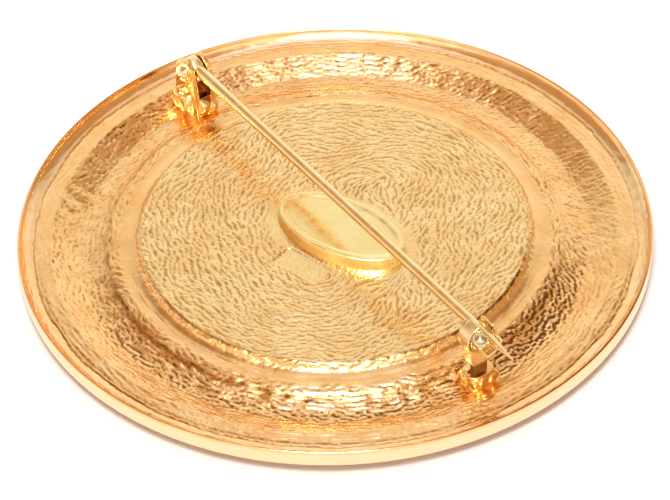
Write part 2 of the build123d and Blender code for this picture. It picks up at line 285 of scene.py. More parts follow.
def sample(field, x, y):
    """The field's value at points of the part's frame."""
    u = (x * RIGHT[0] + y * RIGHT[1]) * FIELD_N / (2 * FIELD_HALF) + FIELD_N / 2
    v = (x * AWAY[0] + y * AWAY[1]) * FIELD_N / (2 * FIELD_HALF) + FIELD_N / 2
    u = np.clip(u, 0, FIELD_N - 1.001)
    v = np.clip(v, 0, FIELD_N - 1.001)
    i, j = u.astype(int), v.astype(int)
    fu, fv = u - i, v - j
    low = field[i, j] * (1 - fv) + field[i, j + 1] * fv
    high = field[i + 1, j] * (1 - fv) + field[i + 1, j + 1] * fv
    return low * (1 - fu) + high * fu


# Node helpers, for the materials and the studio's light


def feed(tree, node, inputs):
    """Gives a node its inputs, each a value or another node's output."""
    for key, value in inputs.items():
        if isinstance(value, bpy.types.NodeSocket):
            tree.links.new(value, node.inputs[key])
        else:
            node.inputs[key].default_value = value
    return node


def add_node(tree, kind, inputs):
    return feed(tree, tree.nodes.new(kind), inputs)


def vector_math(tree, operation, inputs):
    node = tree.nodes.new("ShaderNodeVectorMath")
    node.operation = operation
    return feed(tree, node, inputs)


def map_range(tree, value, low, high, to_low=0.0, to_high=1.0, curve="LINEAR"):
    """Takes a value from one range to another and holds it at the ends."""
    inputs = {"Value": value, "From Min": low, "From Max": high, "To Min": to_low, "To Max": to_high}
    node = add_node(tree, "ShaderNodeMapRange", inputs)
    node.interpolation_type = curve
    return node.outputs["Result"]


def mix_colours(tree, factor, a, b):
    """Colour a turns into colour b as the factor rises."""
    node = tree.nodes.new("ShaderNodeMix")
    node.data_type = "RGBA"
    return feed(tree, node, {"Factor": factor, "A": a, "B": b}).outputs["Result"]


def noise_texture(tree, scale, detail, at, roughness):
    inputs = {"Scale": scale, "Detail": detail, "Roughness": roughness, "Vector": at}
    return add_node(tree, "ShaderNodeTexNoise", inputs).outputs["Fac"]


def two_tones(tree, value, light, deep):
    """From the deep tone to the light one."""
    node = add_node(tree, "ShaderNodeValToRGB", {"Fac": value})
    for element, position, tone in zip(node.color_ramp.elements, (0.32, 0.62), (deep, light)):
        element.position = position
        element.color = (*tone, 1)
    return node.outputs["Color"]


# Materials

# Painted shade's two tones, a dull one and a nearly black one, then the side band's own paler tone
SHADE_TONE, DEEPEST_SHADE_TONE, SIDE_BAND_TONE = (0.55, 0.25, 0.062), (0.15, 0.055, 0.018), (0.94, 0.73, 0.465)
# The stored value that stands for the side band's tone
SIDE_BAND = -4.0
TONE_SCALE, WEAR_SCALE, WEAR_SHARE = 260, 900, 0.5
STRETCH_RADIUS = 0.022


def gold(name, light, deep, rough, bump, grain, stretch=0.0, with_painted_shade=False, disc_tones=None, shade_tone=SHADE_TONE):
    """Plated metal: two tones, uneven polish and a fine surface.

    With stretch, the fine surface is drawn out round the brooch. One with painted shade darkens by the
    painted shade values stored in the mesh, and takes the side band's tone where they mark it. The disc may
    have its own tones.
    """
    material = bpy.data.materials.new(name)
    material.use_nodes = True
    tree = material.node_tree
    metal = tree.nodes["Principled BSDF"]
    where = tree.nodes.new("ShaderNodeTexCoord").outputs["Object"]
    fine_at = where
    if stretch:
        split = add_node(tree, "ShaderNodeSeparateXYZ", {0: where}).outputs
        flat = add_node(tree, "ShaderNodeCombineXYZ", {0: split[0], 1: split[1]}).outputs[0]
        radius = vector_math(tree, "LENGTH", {0: flat}).outputs["Value"]
        unit = vector_math(tree, "NORMALIZE", {0: flat}).outputs[0]
        circle = vector_math(tree, "SCALE", {0: unit, "Scale": STRETCH_RADIUS / stretch}).outputs[0]
        spread = add_node(tree, "ShaderNodeSeparateXYZ", {0: circle}).outputs
        fine_at = add_node(tree, "ShaderNodeCombineXYZ", {0: spread[0], 1: spread[1], 2: radius}).outputs[0]
    tone = noise_texture(tree, TONE_SCALE, 4, where, 0.55)
    colour = two_tones(tree, tone, light, deep)
    if disc_tones:
        outside = map_range(tree, radius, 0.001 * (DISC_R - 0.3), 0.001 * (RING_IN + 0.2))
        colour = mix_colours(tree, outside, two_tones(tree, tone, *disc_tones), colour)
    if with_painted_shade:
        painted_shade = tree.nodes.new("ShaderNodeAttribute")
        painted_shade.attribute_name = "painted_shade"
        # Painted shade in two steps, then the side band's own tone where the stored value marks it
        for low, high, share, overpaint in (
            (0.15, 1.0, 0.7, shade_tone),
            (0.9, 2.0, 0.85, DEEPEST_SHADE_TONE),
            (SIDE_BAND + 1, SIDE_BAND, 1.0, SIDE_BAND_TONE),
        ):
            amount = map_range(tree, painted_shade.outputs["Fac"], low, high, 0.0, share)
            colour = mix_colours(tree, amount, colour, (*overpaint, 1))
    wear = noise_texture(tree, WEAR_SCALE, 5, where, 0.6)
    polish = map_range(tree, wear, 0.3, 0.7, rough * (1 - WEAR_SHARE), rough * (1 + WEAR_SHARE))
    fine = noise_texture(tree, grain, 3, fine_at, 0.6)
    surface = add_node(tree, "ShaderNodeBump", {"Strength": 1.0, "Distance": bump, "Height": fine})
    normal = surface.outputs["Normal"]
    feed(tree, metal, {"Metallic": 1.0, "Base Color": colour, "Roughness": polish, "Normal": normal})
    return material


TEXTURED = gold(
    "gold_textured", (1.0, 0.67, 0.31), (0.95, 0.56, 0.22), 0.23, 0.00003, 2600,
    stretch=1.6, with_painted_shade=True, disc_tones=((1.0, 0.77, 0.38), (0.94, 0.65, 0.28)),
)
POLISHED = gold(
    "gold_polished", (1.0, 0.71, 0.39), (0.97, 0.60, 0.28), 0.13, 0.000004, 1800,
    stretch=1.0, with_painted_shade=True, shade_tone=(0.86, 0.41, 0.10),
)
PLAQUE = gold("gold_plaque", (1.0, 0.88, 0.45), (1.0, 0.81, 0.37), 0.26, 0.000006, 1100, with_painted_shade=True)
FINDING = gold("gold_finding", (1.0, 0.80, 0.47), (0.96, 0.67, 0.30), 0.10, 0.000012, 1500)
WIRE = gold("gold_wire", (1.0, 0.83, 0.47), (0.98, 0.75, 0.38), 0.22, 0.000004, 2200)
HINGE = gold("gold_hinge", (0.98, 0.70, 0.33), (0.88, 0.54, 0.20), 0.17, 0.00001, 1500, with_painted_shade=True)
HOUSING = gold("gold_housing", (1.0, 0.86, 0.58), (0.97, 0.77, 0.45), 0.28, 0.000008, 1500, with_painted_shade=True)
# The sleeve's gold is toned darker and more olive than the other findings: painted shade for the tube and
# knob at the catch's ring
SLEEVE = gold("gold_sleeve", (0.86, 0.75, 0.51), (0.66, 0.54, 0.32), 0.09, 0.000006, 1800)
SOLDER = gold("gold_solder", (1.0, 0.72, 0.33), (0.95, 0.60, 0.22), 0.16, 0.00002, 1300)


# Meshes, made in millimetres


def make_mesh(verts, faces, sharp_verts=()):
    """faces is a list of arrays of faces. sharp_verts are sets of vertices whose own edges stay sharp."""
    mesh = bpy.data.meshes.new("piece")
    loops = np.concatenate([group.ravel() for group in faces])
    sizes = np.concatenate([np.full(len(group), group.shape[1]) for group in faces])
    mesh.vertices.add(len(verts))
    mesh.vertices.foreach_set("co", np.ascontiguousarray(verts, dtype=np.float32).ravel())
    mesh.loops.add(len(loops))
    mesh.loops.foreach_set("vertex_index", loops.astype(np.int32))
    mesh.polygons.add(len(sizes))
    mesh.polygons.foreach_set("loop_start", np.concatenate([[0], np.cumsum(sizes)[:-1]]).astype(np.int32))
    mesh.polygons.foreach_set("use_smooth", np.ones(len(sizes), dtype=bool))
    mesh.update(calc_edges=True)
    mesh.validate()
    if len(sharp_verts):
        mark = np.zeros(len(verts), dtype=np.int32)
        for k, group in enumerate(sharp_verts):
            mark[group] = k + 1
        ends = np.empty(len(mesh.edges) * 2, dtype=np.int32)
        mesh.edges.foreach_get("vertices", ends)
        ends = ends.reshape(-1, 2)
        hard = (mark[ends[:, 0]] > 0) & (mark[ends[:, 0]] == mark[ends[:, 1]])
        layer = mesh.attributes.get("sharp_edge") or mesh.attributes.new("sharp_edge", "BOOLEAN", "EDGE")
        layer.data.foreach_set("value", hard)
    return mesh


def paint_shade(mesh, value):
    """Stores the painted shade at each vertex, which darkens the plating's colour there."""
    layer = mesh.attributes.new("painted_shade", "FLOAT", "POINT")
    layer.data.foreach_set("value", np.asarray(value, dtype=np.float32))


def positions(mesh):
    """The mesh's vertices as an array."""
    flat = np.empty(len(mesh.vertices) * 3, dtype=np.float32)
    mesh.vertices.foreach_get("co", flat)
    return flat.reshape(-1, 3)


def place(mesh, name, material, body, replaced, slot):
    """Puts a mesh made in millimetres into the scene as a piece that rides on a body."""
    mesh.transform(Matrix.Scale(0.001, 4))
    mesh.name = name
    mesh.materials.clear()
    mesh.materials.append(material)
    piece = bpy.data.objects.new(name, mesh)
    bpy.context.scene.collection.objects.link(piece)
    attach(piece, body)
    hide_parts(replaced)


def wall_quads(rows, segments, closed=False):
    """The four corners of the quads between rows of points that each go once round.

    When closed, the last row meets the first.
    """
    k = np.arange(rows if closed else rows - 1)[:, None]
    here, there = k * segments, (k + 1) % rows * segments
    j = np.arange(segments)[None, :]
    onward = (j + 1) % segments
    return here + j, here + onward, there + onward, there + j


def full_turn(segments):
    return np.linspace(0, 2 * math.pi, segments, endpoint=False)


# The casting

# Radius and height of the back, from the middle out
PROFILE = (
    (0, DISC_Z), (18.38, DISC_Z), (18.52, 2.42), (18.82, 2.02), (18.98, 1.87), (19.3, 1.785), (19.75, 1.722),
    (20.0, 1.712), (20.25, 1.722), (20.45, 1.75), (20.6, 1.78), (21.4, 1.60), (21.85, 1.33), (23.4, 0.94),
    (24.3, 0.94), (26.8, CREST_Z), (26.95, 2.055), (27.15, 2.0), (27.3, 2.0), (27.5, 1.99), (28.5, 1.95),
    (28.8, 1.965), (29.1, 2.04), (29.3, 2.15), (29.5, 2.30), (29.65, 2.47), (29.77, 2.67), (29.85, RIM_Z),
    (31, RIM_Z),
)
PROFILE_STEP = 0.01
BLUR_REACH = 300
LIP_ROUND, LOW_ROUND = 0.14, 0.2
ROUND_ROWS, SIDE_ROWS = 8, 6
DISC_STEP, TROUGH_STEP, RIM_STEP = 0.138, 0.14, 0.06
TROUGH_SEGMENTS, RIM_SEGMENTS = 1120, 960


def back_profile():
    """Radius and height along the casting's back, from the middle to the rim's top edge."""
    r = np.arange(0, BROOCH_R + 0.3, PROFILE_STEP)
    z = np.interp(r, [p[0] for p in PROFILE], [p[1] for p in PROFILE])

    def blur(sigma):
        k = np.exp(-0.5 * (np.arange(-BLUR_REACH, BLUR_REACH + 1) * PROFILE_STEP / sigma) ** 2)
        padded = np.concatenate([z[BLUR_REACH:0:-1], z, np.full(BLUR_REACH, z[-1])])
        return np.convolve(padded, k / k.sum(), mode="valid")

    soft = np.maximum(band(r, 21.6, CREST_IN - 0.2, 0.2), band(r, 19.0, 20.2, 0.1))
    crisp = smooth(r, 29.2, 29.5)
    z = blur(0.08) * (1 - soft) * (1 - crisp) + blur(0.2) * soft + blur(0.03) * crisp
    keep = r <= BROOCH_R - LIP_ROUND
    return r[keep], z[keep]


def by_length(r, z, step):
    """The same line, cut into equal pieces of about that length."""
    s = np.concatenate([[0], np.cumsum(np.hypot(np.diff(r), np.diff(z)))])
    n = max(2, int(round(s[-1] / step)) + 1)
    t = np.linspace(0, s[-1], n)
    return np.interp(t, s, r), np.interp(t, s, z)


def arc(cx, cz, radius, a0, a1, n):
    a = np.radians(np.linspace(a0, a1, n))
    return cx + radius * np.cos(a), cz + radius * np.sin(a)


def ring_mesh(line_r, line_z, segments, textured, sharp, overpaint=0, banded=0):
    """A closed ring turned from a closed line.

    The line's first points, up to textured, carry relief and painted shade, and those up to overpaint carry
    painted shade only. After them come banded points in the side band's tone.
    """
    n = len(line_r)
    t = full_turn(segments)
    dr = np.roll(line_r, -1) - np.roll(line_r, 1)
    dz = np.roll(line_z, -1) - np.roll(line_z, 1)
    size = np.hypot(dr, dz) + 1e-9
    nr, nz = -dz / size, dr / size
    use = np.zeros(n)
    use[1:textured - 1] = 1.0
    h = sample(RELIEF, line_r[:, None] * np.cos(t), line_r[:, None] * np.sin(t)) * use[:, None]
    r = line_r[:, None] + nr[:, None] * h
    z = line_z[:, None] + nz[:, None] * h
    verts = np.stack([r * np.cos(t), r * np.sin(t), z], axis=-1).reshape(-1, 3)
    a, b, c, d = wall_quads(n, segments, closed=True)
    quads = np.stack([a, d, c, b], axis=-1).reshape(-1, 4)
    mesh = make_mesh(verts, [quads], [np.arange(segments) + row * segments for row in sharp])
    # Painted shade on the first rows, then the side band's own tone on the banded rows
    use[1:overpaint] = 1.0
    painted_shade = sample(PAINTED_SHADE, verts[:, 0], verts[:, 1]) * np.repeat(use, segments)
    painted_shade[overpaint * segments:(overpaint + banded) * segments] = SIDE_BAND
    paint_shade(mesh, painted_shade)
    return mesh


def disc_mesh(line_r, line_z, under_r, under_z):
    """A closed disc with a plain underside. Its top is quads in eight-sided rings that are made round."""
    sides = 8
    levels = len(line_r) - 1
    verts = [[0.0, 0.0, float(line_z[0])]]
    start = [0]
    rise, run = np.gradient(line_z), np.gradient(line_r)
    size = np.hypot(rise, run)
    for k in range(1, levels + 1):
        t = 2 * math.pi * np.arange(sides * k) / (sides * k)
        h = sample(RELIEF, line_r[k] * np.cos(t), line_r[k] * np.sin(t)) * (0.0 if k == levels else 1.0)
        r = line_r[k] - rise[k] / size[k] * h
        z = line_z[k] + run[k] / size[k] * h
        start.append(len(verts))
        verts.extend(np.stack([r * np.cos(t), r * np.sin(t), z], axis=-1).tolist())
    quads, tris = [], []
    for k in range(1, levels + 1):
        outer, inner = start[k], start[k - 1]
        for side in range(sides):
            o = outer + side * k
            if k == 1:
                tris.append((0, o, outer + (side + 1) % sides))
                continue
            i = inner + side * (k - 1)
            closes = side == sides - 1
            for s in range(k - 1):
                quads.append((i + s, o + s, o + s + 1, inner if closes and s == k - 2 else i + s + 1))
            tris.append((inner if closes else i + k - 1, o + k - 1, outer if closes else o + k))
    top = len(verts)
    m = sides * levels
    t = 2 * math.pi * np.arange(m) / m
    a = np.arange(m)
    b = (a + 1) % m
    edge = start[levels]
    previous = edge
    for r, z in zip(under_r, under_z):
        here = len(verts)
        verts.extend(np.stack([r * np.cos(t), r * np.sin(t), np.full(m, z)], axis=-1).tolist())
        quads.extend(np.stack([previous + a, here + a, here + b, previous + b], axis=-1).tolist())
        previous = here
    centre = len(verts)
    verts.append([0.0, 0.0, float(under_z[-1])])
    tris.extend(np.stack([previous + a, np.full(m, centre), previous + b], axis=-1).tolist())
    verts = np.array(verts)
    sharp = [np.arange(edge, edge + m), np.arange(top, top + m)]
    mesh = make_mesh(verts, [np.array(quads), np.array(tris)], sharp)
    # Painted shade on the disc's top, none on its underside
    painted_shade = np.zeros(len(verts))
    painted_shade[:edge] = sample(PAINTED_SHADE, verts[:edge, 0], verts[:edge, 1])
    paint_shade(mesh, painted_shade)
    return mesh


R, Z = back_profile()

# The raised disc, out to the smooth ring ledge
inner = R <= DISC_SEAM
disc_r, disc_z = by_length(R[inner], Z[inner], DISC_STEP)
low_r = np.array([DISC_SEAM, RING_IN, 18.6, 17.9, 17.25, 12.0, 6.0, 1.0])
low_z = np.array([DISC_SEAM_LOW, RING_LOW, 0.86, 1.14, DISC_LOW, DISC_LOW, DISC_LOW, DISC_LOW])
place(disc_mesh(disc_r, disc_z, low_r, low_z), "casting_disc", TEXTURED, *CASTING)

# The trough and the rim's ledge
middle = (R >= DISC_SEAM) & (R <= RIM_SEAM)
top_r, top_z = by_length(R[middle], Z[middle], TROUGH_STEP)
land = (
    (RIM_SEAM, RIM_SEAM_LOW), (27.6, 0.72), (26.6, 0.36), (25.4, 0.09), (24.15, 0.0), (23.55, 0.0),
    (22.9, 0.05), (22.1, 0.27), (SHOULDER_OUT, SHOULDER_LOW), (20.6, 0.58), (DISC_SEAM, DISC_SEAM_LOW),
)
line_r = np.concatenate([top_r, [p[0] for p in land]])
line_z = np.concatenate([top_z, [p[1] for p in land]])
n_top = len(top_r)
trough = ring_mesh(line_r, line_z, TROUGH_SEGMENTS, n_top, [0, n_top - 1, n_top, len(line_r) - 1])
place(trough, "casting_trough", TEXTURED, *CASTING)

# The rim: concave wall, thin lip, side band and the front's outer edge
outer = R >= RIM_SEAM
lip_r, lip_z = by_length(R[outer], Z[outer], RIM_STEP)
round_r, round_z = arc(BROOCH_R - LIP_ROUND, RIM_Z - LIP_ROUND, LIP_ROUND, 84, 0, ROUND_ROWS)
low_round_r, low_round_z = arc(BROOCH_R - LOW_ROUND, RIM_LOW + LOW_ROUND, LOW_ROUND, 0, -90, ROUND_ROWS)
side_z = np.linspace(RIM_Z - 0.35, RIM_LOW + 0.35, SIDE_ROWS)
line_r = np.concatenate([lip_r, round_r, np.full(SIDE_ROWS, BROOCH_R), low_round_r, [29.2, RIM_SEAM]])
line_z = np.concatenate([lip_z, round_z, side_z, low_round_z, [RIM_LOW, RIM_SEAM_LOW]])
rim = ring_mesh(
    line_r, line_z, RIM_SEGMENTS, len(lip_r), [0, len(line_r) - 1],
    overpaint=len(lip_r) + ROUND_ROWS, banded=SIDE_ROWS + 2,
)
place(rim, "casting_rim", POLISHED, *CASTING)


# Small solids joined, remeshed and smoothed, so that they run together as soldered metal does


def prism(points, start, end, along):
    """A closed prism: points are (x, z) for along 'y' and (y, z) for along 'x', run from start to end."""
    bm = bmesh.new()
    rows = []
    for at in (start, end):
        rows.append([bm.verts.new((at, p[0], p[1]) if along == "x" else (p[0], at, p[1])) for p in points])
    n = len(points)
    caps = [bm.faces.new(rows[0]), bm.faces.new(list(reversed(rows[1])))]
    for i in range(n):
        bm.faces.new([rows[0][i], rows[1][i], rows[1][(i + 1) % n], rows[0][(i + 1) % n]])
    bmesh.ops.triangulate(bm, faces=caps)
    bmesh.ops.recalc_face_normals(bm, faces=bm.faces)
    return bm


def loft(low, high):
    """A closed solid between two rings of as many points, each a list of (x, y, z)."""
    bm = bmesh.new()
    a = [bm.verts.new(p) for p in low]
    b = [bm.verts.new(p) for p in high]
    n = len(a)
    bm.faces.new(a)
    bm.faces.new(list(reversed(b)))
    for i in range(n):
        bm.faces.new([a[i], b[i], b[(i + 1) % n], a[(i + 1) % n]])
    bmesh.ops.recalc_face_normals(bm, faces=bm.faces)
    return bm


def rounded(cx, cy, length, width, radius, z):
    """Corner-rounded rectangle as a ring of points."""
    out = []
    for qx, qy, start in ((1, 1, 0), (-1, 1, 90), (-1, -1, 180), (1, -1, 270)):
        corner_x, corner_y = cx + qx * (length / 2 - radius), cy + qy * (width / 2 - radius)
        for a in np.radians(np.linspace(start, start + 90, 7)):
            out.append((corner_x + radius * math.cos(a), corner_y + radius * math.sin(a), z))
    return out


def lump(x, y, z, sx, sy, sz, seed):
    """A flattened drop of solder."""
    bm = bmesh.new()
    bmesh.ops.create_icosphere(bm, subdivisions=3, radius=1.0)
    k = np.random.default_rng(seed).standard_normal((2, 3)) * 1.6
    for v in bm.verts:
        c = v.co
        coarse = math.sin(k[0, 0] * c.x + k[0, 1] * c.y + k[0, 2] * c.z + 1)
        fine = math.sin(k[1, 0] * c.x * 2 + k[1, 1] * c.y * 2 + 2)
        w = 1 + 0.10 * coarse + 0.06 * fine
        v.co = Vector((x + c.x * sx * w, y + c.y * sy * w, z + c.z * sz * w))
    return bm


def blend_solids(solids, voxel, rounds):
    """Joins closed solids into one skin with softened edges."""
    whole = bmesh.new()
    for solid in solids:
        part = bpy.data.meshes.new("part")
        solid.to_mesh(part)
        solid.free()
        whole.from_mesh(part)
        bpy.data.meshes.remove(part)
    mesh = bpy.data.meshes.new("joined")
    whole.to_mesh(mesh)
    whole.free()
    o = bpy.data.objects.new("joined", mesh)
    bpy.context.scene.collection.objects.link(o)
    skin = o.modifiers.new("skin", "REMESH")
    skin.mode = "VOXEL"
    skin.voxel_size = voxel
    skin.use_smooth_shade = True
    soften = o.modifiers.new("soften", "SMOOTH")
    soften.factor = 0.5
    soften.iterations = rounds
    made = bpy.data.meshes.new_from_object(o.evaluated_get(bpy.context.evaluated_depsgraph_get()))
    bpy.data.objects.remove(o)
    bpy.data.meshes.remove(mesh)
    made.shade_smooth()
    return made


# How dark the painted shade is inside the hinge and at the foot of the catch
SHADED = 1.7

hx, hz = RIVET[0], RIVET[2]
half = EAR_GAP / 2
foot_x = EAR_FOOT / 2
ear = list(zip(*arc(hx, hz, EAR_R, 0, 180, 33)))
ear += [(hx - EAR_R - 0.1, hz - 1.2), (hx - foot_x, SUNK_Z)]
ear += [(hx + foot_x, SUNK_Z), (hx + EAR_R + 0.1, hz - 1.2)]
base = [(hx - 1.7, hz - 2.4), (hx - foot_x, SUNK_Z), (hx + foot_x, SUNK_Z), (hx + 1.7, hz - 2.4)]
hinge_solids = [
    prism(ear, half, half + EAR_T, "y"),
    prism(ear, -half - EAR_T, -half, "y"),
    prism(base, -half - 0.1, half + 0.1, "y"),
]
hinge = blend_solids(hinge_solids, 0.045, 12)
at = positions(hinge)
between = 1 - smooth(np.abs(at[:, 1]), half - 0.1, half + 0.1)
# Painted shade between the ears, below the rivet
paint_shade(hinge, SHADED * between * (1 - smooth(at[:, 2], hz - 1.6, hz - 0.8)))
place(hinge, "hinge_bracket", HINGE, *CASTING)
hinge_foot = [
    loft(rounded(hx, 0, 3.9, 3.3, 1.1, SUNK_Z), rounded(hx, 0, 3.0, 2.5, 1.0, FLOOR_Z + 1.2)),
    lump(hx - 1.5, -0.85, FLOOR_Z + 0.9, 0.9, 1.0, 1.1, 1),
    lump(hx - 0.7, -1.3, FLOOR_Z + 1.55, 0.9, 0.8, 1.2, 2),
    lump(hx + 0.55, -1.3, FLOOR_Z + 1.25, 0.9, 0.8, 1.2, 3),
    lump(hx + 1.5, -0.35, FLOOR_Z + 1.15, 0.85, 0.95, 1.2, 6),
    lump(hx + 1.6, 0.6, FLOOR_Z + 0.75, 0.8, 0.9, 0.9, 4),
    lump(hx - 1.35, 0.8, FLOOR_Z + 0.5, 0.85, 0.9, 0.7, 5),
]
place(blend_solids(hinge_foot, 0.06, 24), "hinge_solder", SOLDER, *CASTING)

cx, cy, cz = CATCH
x0, x1 = cx - CATCH_L / 2, cx + CATCH_L / 2


def round_catch(radius, turns):
    """Points (y, z) on a circle about the catch's axis, by turns in radians from straight up."""
    return [(cy + radius * math.sin(a), cz + radius * math.cos(a)) for a in turns]


def open_ring(inner_r, outer_r):
    """The outline of a ring with a parallel-sided slot above the pin."""
    out = []
    for radius in (outer_r, inner_r):
        right = math.asin((SLOT_HALF - cy) / radius)
        left = 2 * math.pi - math.asin((SLOT_HALF + cy) / radius)
        turns = np.linspace(right, left, 64)
        out += round_catch(radius, turns if radius == outer_r else turns[::-1])
    return out


lip_turns = np.radians(np.linspace(100, 182, 24))
lip_line = round_catch(RING_R, lip_turns) + round_catch(RING_BORE, lip_turns[::-1])
bore = round_catch(RING_BORE, np.radians(np.linspace(125, 235, 20)))
body = [(cy - 1.28, cz - 1.0), (cy - 1.22, cz - 2.2), (cy - 1.05, 3.75), (cy - 0.6, 3.55)]
body += [(cy + 0.6, 3.55), (cy + 1.05, 3.75), (cy + 1.22, cz - 2.2), (cy + 1.28, cz - 1.0)]
body += [(y, z - 0.03) for y, z in bore]
waist = [(cy - 0.45, 4.0), (cy - 0.4, 2.6), (cy - 0.6, SUNK_Z)]
waist += [(cy + 1.1, SUNK_Z), (cy + 0.95, 2.6), (cy + 0.95, 4.0)]
catch_solids = [
    prism(open_ring(RING_BORE, RING_R), x0, x1, "x"),
    prism(lip_line, x1 - 0.2, x1 + 0.9, "x"),
    prism(body, x0 + 0.02, x1 - 0.02, "x"),
    prism(waist, x0 + 0.1, x1 - 0.55, "x"),
]
catch = blend_solids(catch_solids, 0.036, 4)
# Painted shade on the catch's lower part: its waist and the bottom of its body
paint_shade(catch, SHADED * (1 - smooth(positions(catch)[:, 2], 3.5, 3.9)))
place(catch, "catch_housing", HOUSING, *CASTING)
catch_foot = [
    loft(rounded(cx, cy, 2.7, 3.4, 1.0, SUNK_Z), rounded(cx, cy, 2.1, 2.9, 0.9, FLOOR_Z + 1.5)),
    lump(cx - 0.35, cy - 1.05, FLOOR_Z + 0.75, 0.95, 0.75, 0.75, 7),
    lump(cx + 0.75, cy - 0.35, FLOOR_Z + 0.7, 0.65, 0.95, 0.75, 8),
    lump(cx + 0.7, cy + 0.95, FLOOR_Z + 0.75, 0.65, 0.8, 0.7, 9),
    lump(cx - 0.7, cy + 1.0, FLOOR_Z + 0.6, 0.7, 0.75, 0.7, 10),
]
place(blend_solids(catch_foot, 0.05, 12), "catch_solder", SOLDER, *CASTING)


# Plaque


def oval_mesh():
    """The oval plaque: rounded border, sunk level field, and a foot that sinks into the disc."""
    a, b = PLAQUE_HALF
    top = DISC_Z + PLAQUE_H
    field = top - 0.10
    foot_z = DISC_Z - 0.35
    edge = 0.2
    # How far in from the oval's edge, and how high
    line = [(-0.24, foot_z), (-0.24, DISC_Z - 0.05), (-0.21, DISC_Z + 0.12), (-0.1, DISC_Z + 0.5)]
    line += [(0.0, top - edge)]
    line += list(zip(*arc(edge, top - edge, edge, 165, 90, 7)))
    line += [(0.34, top), (0.47, top - 0.01), (0.58, top - 0.035), (0.70, top - 0.07), (0.82, field + 0.005)]
    line += [(inset, field) for inset in (0.95, 1.1, 1.8, 2.6, 3.2)]
    # Past this inset the oval shrinks evenly, so that it doesn't cross itself
    parallel = 1.1
    segments = 360
    t = full_turn(segments)
    nx, ny = np.cos(t) / a, np.sin(t) / b
    size = np.hypot(nx, ny)
    verts = []
    for inset, z in line:
        even = min(inset, parallel)
        shrink = (b - inset) / (b - even)
        x = (a * np.cos(t) - even * nx / size) * shrink
        y = (b * np.sin(t) - even * ny / size) * shrink
        verts.append(np.stack([x, y, np.full(segments, z)], axis=-1))
    verts = np.concatenate(verts + [[[0, 0, field]], [[0, 0, foot_z]]])
    quads = np.stack(wall_quads(len(line), segments), axis=-1).reshape(-1, 4)
    centre = len(line) * segments
    last = centre - segments
    j = np.arange(segments)
    onward = (j + 1) % segments
    caps = np.stack([last + j, last + onward, np.full(segments, centre)], axis=-1)
    foot = np.stack([onward, j, np.full(segments, centre + 1)], axis=-1)
    turn = math.radians(PLAQUE_TURN)
    x, y = verts[:, 0].copy(), verts[:, 1].copy()
    verts[:, 0] = PLAQUE_X + x * math.cos(turn) - y * math.sin(turn)
    verts[:, 1] = x * math.sin(turn) + y * math.cos(turn)
    wave = sample(DENT, verts[:, 0], verts[:, 1]) * 0.004 + sample(SWELL, verts[:, 0], verts[:, 1]) * 0.006
    verts[:, 2] += wave * (verts[:, 2] > DISC_Z + 0.4)
    verts[:, 2] = np.minimum(verts[:, 2], top + 0.04)
    mesh = make_mesh(verts, [quads, np.concatenate([caps, foot])])
    # Painted shade on the plaque's wall, deeper toward its left side and gone at its top
    leftward = -(verts[:, 0] - PLAQUE_X) * RIGHT[0] - verts[:, 1] * RIGHT[1]
    paint_shade(mesh, 0.75 * smooth(leftward, -0.5, 3.0) * (1 - smooth(verts[:, 2], top - 0.3, top - 0.1)))
    return mesh


place(oval_mesh(), "plaque", PLAQUE, *CASTING)


# Rivet, pin and sleeve


def turned(line, origin, direction, segments):
    """A closed solid turned about a line: line is (distance along, radius) from end to end."""
    d = Vector(direction).normalized()
    u = d.orthogonal().normalized()
    v = d.cross(u)
    t = full_turn(segments)
    ring = np.cos(t)[:, None] * np.array(u) + np.sin(t)[:, None] * np.array(v)
    o = np.array(origin)
    verts = [o + np.array(d) * line[0][0]]
    for s, r in line:
        verts.extend(o + np.array(d) * s + ring * r)
    verts.append(o + np.array(d) * line[-1][0])
    quads = 1 + np.stack(wall_quads(len(line), segments), axis=-1).reshape(-1, 4)
    j = np.arange(segments)
    onward = (j + 1) % segments
    end = len(verts) - 1
    last_row = end - segments
    first = np.stack([np.zeros(segments, dtype=int), 1 + onward, 1 + j], axis=-1)
    last = np.stack([np.full(segments, end), last_row + j, last_row + onward], axis=-1)
    return make_mesh(np.array(verts), [quads, np.concatenate([first, last])])


def mirrored(half_line):
    """A line turned about its middle, from the half that lies at the far end."""
    return [(-s, r) for s, r in reversed(half_line)] + half_line


def dome(face, height, radius):
    """A rivet's head on that face, out to its crown."""
    steps = 10
    ball = (radius**2 + height**2) / (2 * height)
    turns = [math.asin(radius / ball) * (1 - k / steps) for k in range(steps)]
    return [(face + height - ball + ball * math.cos(a), ball * math.sin(a)) for a in turns]


ear_face = HINGE_W / 2
rivet_half = [(ear_face, 0.5), (ear_face + 0.02, 0.8)] + dome(ear_face, 0.6, 0.85)
rivet = turned(mirrored(rivet_half), RIVET, (0, 1, 0), 64)
place(rivet, "rivet", FINDING, "plate", "hinge_rivet", "gold_finding")

length = (PIN_TIP_X - PIN_START[0]) / math.cos(math.atan(PIN_SLOPE))
stem_line = [(0.75, 0.30), (0.8, 0.5), (0.9, 0.57), (1.2, 0.575), (4.0, 0.545), (8.8, PIN_R)]
stem_line += [(s, PIN_R) for s in np.linspace(10, 44.0, 16)]
stem_line += [(44.78, 0.497), (46.5, 0.475), (48.6, 0.45), (49.2, 0.41), (50.2, 0.31), (51.2, 0.19)]
stem_line += [(52.0, 0.09), (length - 0.1, 0.055), (length, 0.02)]
stem = turned(stem_line, (PIN_START[0], 0, PIN_START[1]), (1, 0, PIN_SLOPE), 48)
hub_half = [(0.34, 1.4), (0.46, 1.37), (0.54, 1.29), (0.575, 1.18), (0.575, 0.55)]
hub = turned(mirrored(hub_half), RIVET, (0, 1, 0), 64)
both = bmesh.new()
both.from_mesh(stem)
both.from_mesh(hub)
bpy.data.meshes.remove(hub)
both.to_mesh(stem)
